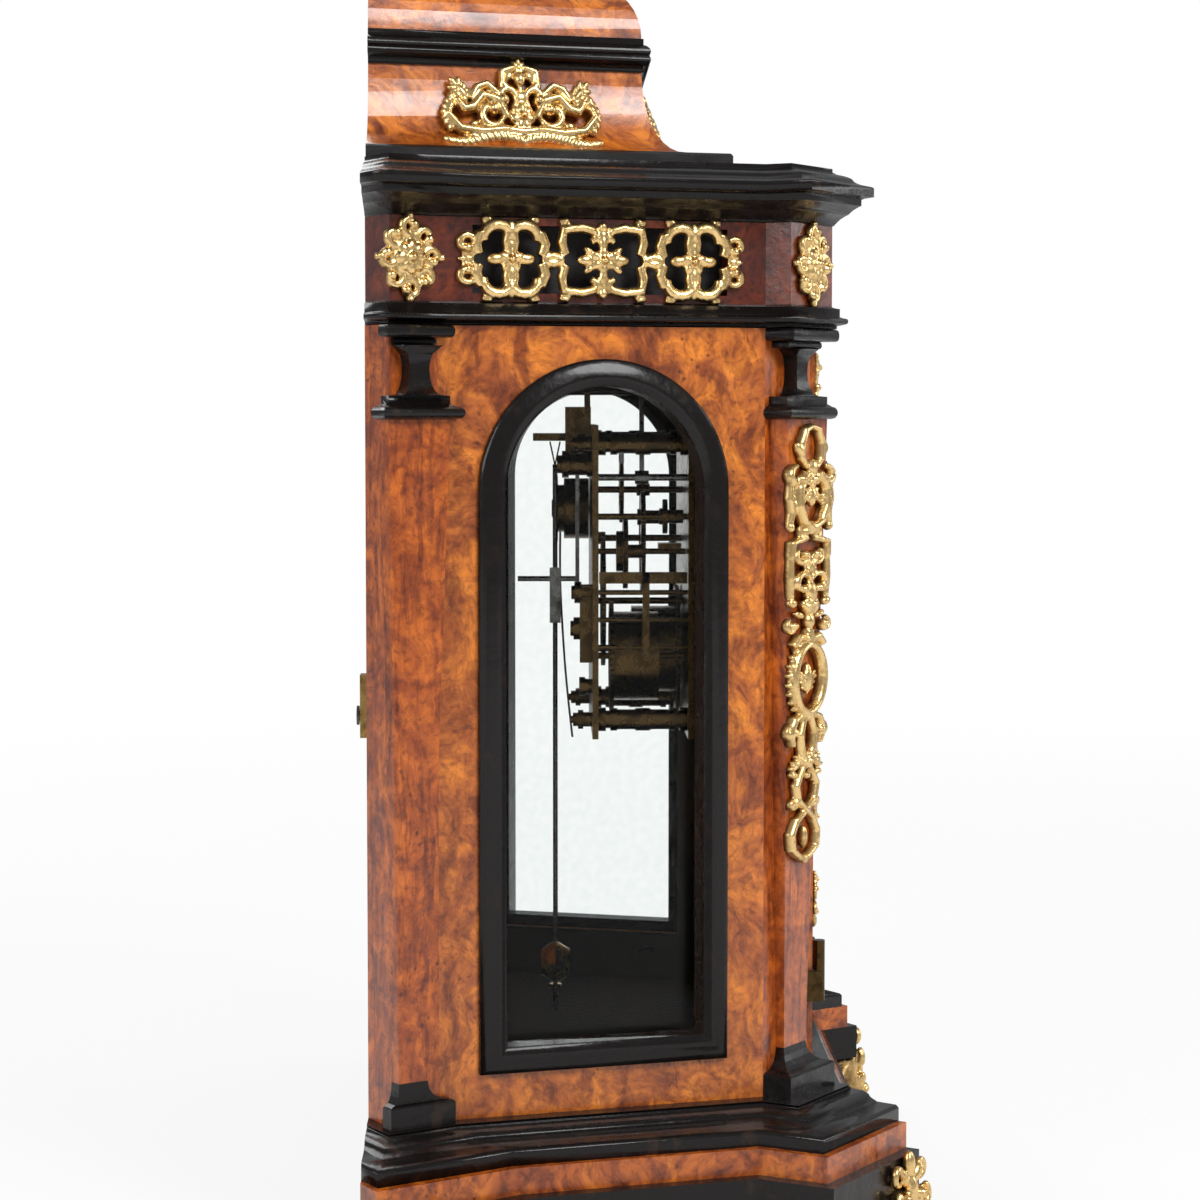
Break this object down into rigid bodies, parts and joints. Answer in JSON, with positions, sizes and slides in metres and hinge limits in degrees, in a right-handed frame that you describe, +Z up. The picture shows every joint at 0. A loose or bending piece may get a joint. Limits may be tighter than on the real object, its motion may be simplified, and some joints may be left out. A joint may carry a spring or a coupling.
{
  "type": "bracket clock",
  "caption": "Spring-driven bracket clock in a splayed wooden case with a bell top, glazed door and sides, gilt mounts, bob pendulum and working train.",
  "frame": {"origin": "on the table, under the middle of the whole object", "axes": "+X to the right seen from the front, the dial faces -Y, +Z up"},
  "size_m": [0.4834, 0.2456, 0.612],
  "materials": {
    "walnut": "polished burr walnut",
    "black": "ebonised and polished",
    "oak": "plain dark wood",
    "gilt": "fire-gilt casting",
    "brass": "aged brass",
    "steel": "dark polished steel",
    "blued": "blued steel",
    "silvered": "silvered brass",
    "glass": "clear pane",
    "line": "twisted cord",
    "lining": "dark silk behind the frets"
  },
  "bodies": {
    "case": {"plinth_board": "black", "base_band": "walnut", "base_moulding": "black", "bottom_board": "oak", "architrave_moulding": "black", "cornice": "black", "top_board": "oak", "ceiling_board": "oak", "side_panels": "walnut", "side_window_frames": "black", "side_glasses": "glass", "corner_posts": "walnut", "pilaster_bases": "black", "pilaster_shafts": "walnut", "pilaster_capitals": "black", "frieze_frame": "walnut", "frieze_panes": "lining", "frieze_frets": "gilt", "corner_rosettes": "gilt", "pilaster_mounts": "gilt", "bell_lower": "walnut", "bell_upper": "walnut", "bell_moulding": "black", "finial": "gilt", "bell_mounts": "gilt", "feet": "gilt", "front_frame": "walnut", "fixed_hinge_leaves": "brass", "back_frame": "walnut", "back_turn_screw": "steel", "movement_plates": "brass", "movement_pillars": "brass", "dial_plate": "brass", "chapter_ring": "silvered", "dial_castings": "gilt", "back_brackets": "brass", "strike_bell": "brass", "pull_line": "line"},
    "front_door_body": {"front_door": "walnut", "front_door_glass": "glass", "front_door_moulding": "black", "front_door_mounts": "gilt", "door_hinge_leaves": "brass"},
    "back_door_body": {"back_door": "walnut", "back_door_hinges": "brass"},
    "back_turn_body": {"back_turn": "brass"},
    "centre_body": {"centre_arbor": "brass", "minute_hand": "blued"},
    "hour_body": {"hour_wheel": "brass", "hour_hand": "blued"},
    "minute_wheel_body": {"minute_wheel": "brass"},
    "going_barrel_body": {"going_barrel": "brass"},
    "third_body": {"third_wheel": "brass"},
    "escape_body": {"escape_wheel": "brass"},
    "strike_barrel_body": {"strike_barrel": "brass"},
    "pallets_body": {"pallets": "steel"},
    "pendulum_body": {"pendulum_rod": "steel", "pendulum_bob": "brass"},
    "hammer_body": {"hammer": "steel"},
    "pull_drum_body": {"pull_drum": "brass"}
  },
  "joints": [
    {"name": "front_door_hinge", "type": "hinge", "parent": "case", "child": "front_door_body", "pos_m": [-0.0973, -0.07127, 0], "axis": [0, 0, -1], "range_deg": [0, 105]},
    {"name": "back_door_hinge", "type": "hinge", "parent": "case", "child": "back_door_body", "pos_m": [0.12225, 0.11943, 0], "axis": [0, 0, -1], "range_deg": [0, 110]},
    {"name": "back_turn_hinge", "type": "hinge", "parent": "case", "child": "back_turn_body", "pos_m": [-0.131, 0.11683, 0.222], "axis": [0, 1, 0], "range_deg": [0, 90]},
    {"name": "centre_turn", "type": "hinge", "parent": "case", "child": "centre_body", "pos_m": [0, -0.00217, 0.26093], "axis": [0, 1, 0], "continuous": true},
    {"name": "hour_turn", "type": "hinge", "parent": "case", "child": "hour_body", "pos_m": [0, -0.00217, 0.26093], "axis": [0, 1, 0], "continuous": true},
    {"name": "minute_wheel_turn", "type": "hinge", "parent": "case", "child": "minute_wheel_body", "pos_m": [0, -0.00217, 0.27893], "axis": [0, 1, 0], "continuous": true},
    {"name": "going_barrel_turn", "type": "hinge", "parent": "case", "child": "going_barrel_body", "pos_m": [0.0206, -0.00217, 0.2375], "axis": [0, 1, 0], "continuous": true},
    {"name": "third_turn", "type": "hinge", "parent": "case", "child": "third_body", "pos_m": [0.01373, -0.00217, 0.28895], "axis": [0, 1, 0], "continuous": true},
    {"name": "escape_turn", "type": "hinge", "parent": "case", "child": "escape_body", "pos_m": [0, -0.00217, 0.3115], "axis": [0, 1, 0], "continuous": true},
    {"name": "strike_barrel_turn", "type": "hinge", "parent": "case", "child": "strike_barrel_body", "pos_m": [-0.0206, -0.00217, 0.2375], "axis": [0, 1, 0], "continuous": true},
    {"name": "pendulum_swing", "type": "hinge", "parent": "case", "child": "pendulum_body", "pos_m": [0, -0.00217, 0.333], "axis": [0, 1, 0], "range_deg": [-3, 3]},
    {"name": "pallets_swing", "type": "hinge", "parent": "case", "child": "pallets_body", "pos_m": [0, -0.00217, 0.333], "axis": [0, 1, 0], "range_deg": [-3, 3]},
    {"name": "hammer_swing", "type": "hinge", "parent": "case", "child": "hammer_body", "pos_m": [-0.044, -0.00217, 0.318], "axis": [0, 1, 0], "range_deg": [-12, 0]},
    {"name": "pull_drum_turn", "type": "hinge", "parent": "case", "child": "pull_drum_body", "pos_m": [0.031, -0.00217, 0.302], "axis": [0, 1, 0], "range_deg": [-180, 0]}
  ],
  "couplings": [
    {"joint": "hour_turn", "follows": "centre_turn", "ratio": 0.083333},
    {"joint": "minute_wheel_turn", "follows": "centre_turn", "ratio": -0.33333},
    {"joint": "going_barrel_turn", "follows": "centre_turn", "ratio": -0.083333},
    {"joint": "third_turn", "follows": "centre_turn", "ratio": -12},
    {"joint": "escape_turn", "follows": "centre_turn", "ratio": 120},
    {"joint": "pallets_swing", "follows": "pendulum_swing", "ratio": 1}
  ]
}
